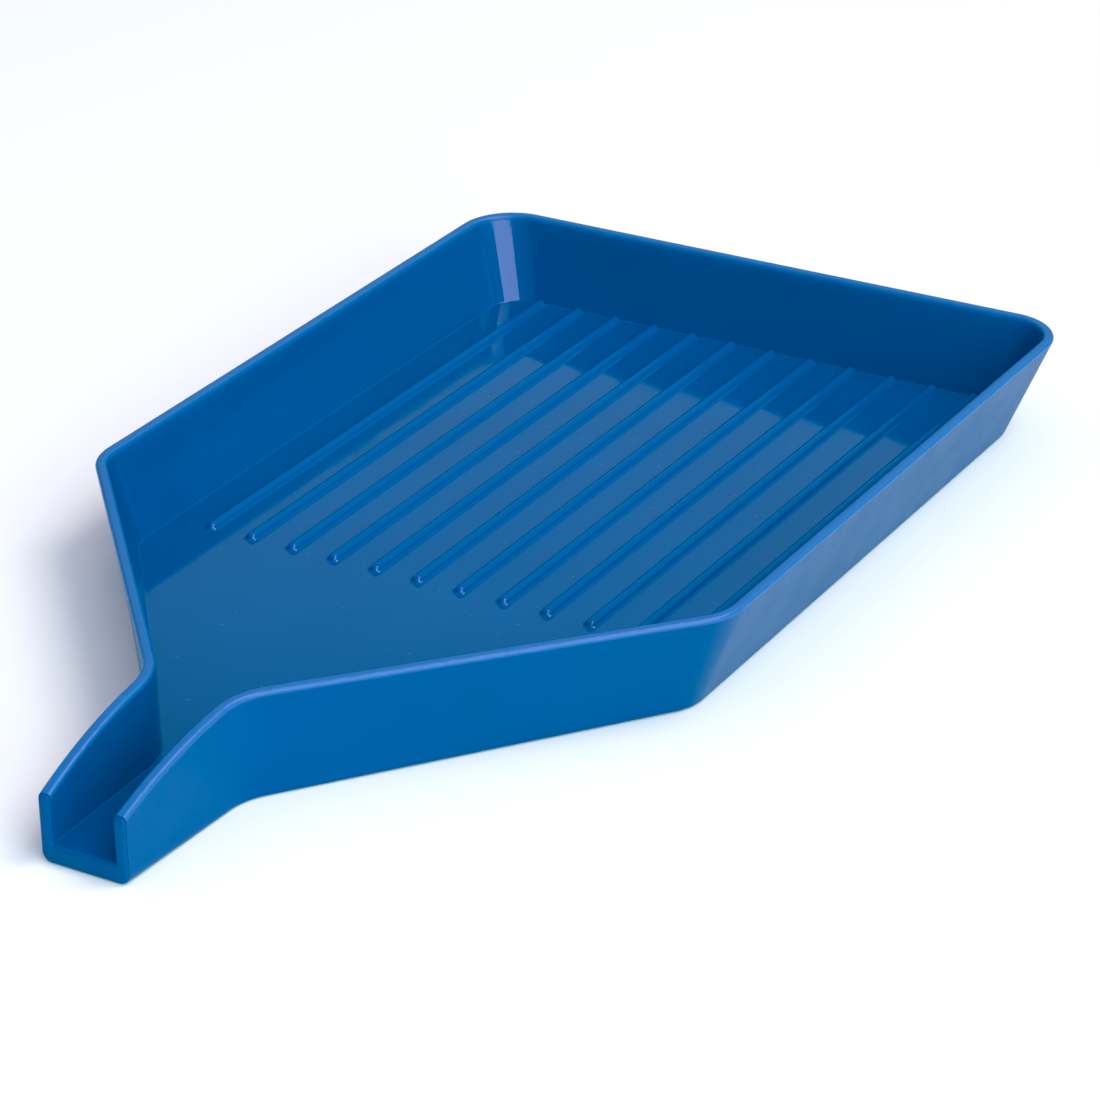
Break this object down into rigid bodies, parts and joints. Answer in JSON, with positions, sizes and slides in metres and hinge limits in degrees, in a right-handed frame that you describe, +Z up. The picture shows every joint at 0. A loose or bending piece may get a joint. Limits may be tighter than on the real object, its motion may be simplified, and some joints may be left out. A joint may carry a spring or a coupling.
{
  "type": "sorting tray",
  "caption": "Shallow one-piece plastic sorting tray with leaning walls, a ribbed floor and an open tapering pouring spout at one end",
  "frame": {"origin": "on the flat underside, midway along the length and on the line of symmetry", "axes": "+Z up, +Y towards the wide back wall so that the spout points to -Y, +X across the tray"},
  "size_m": [0.0728, 0.13, 0.0109],
  "materials": {
    "tray": "high-gloss injection-moulded blue plastic"
  },
  "bodies": {
    "root": {"tray": "tray"}
  },
  "joints": []
}
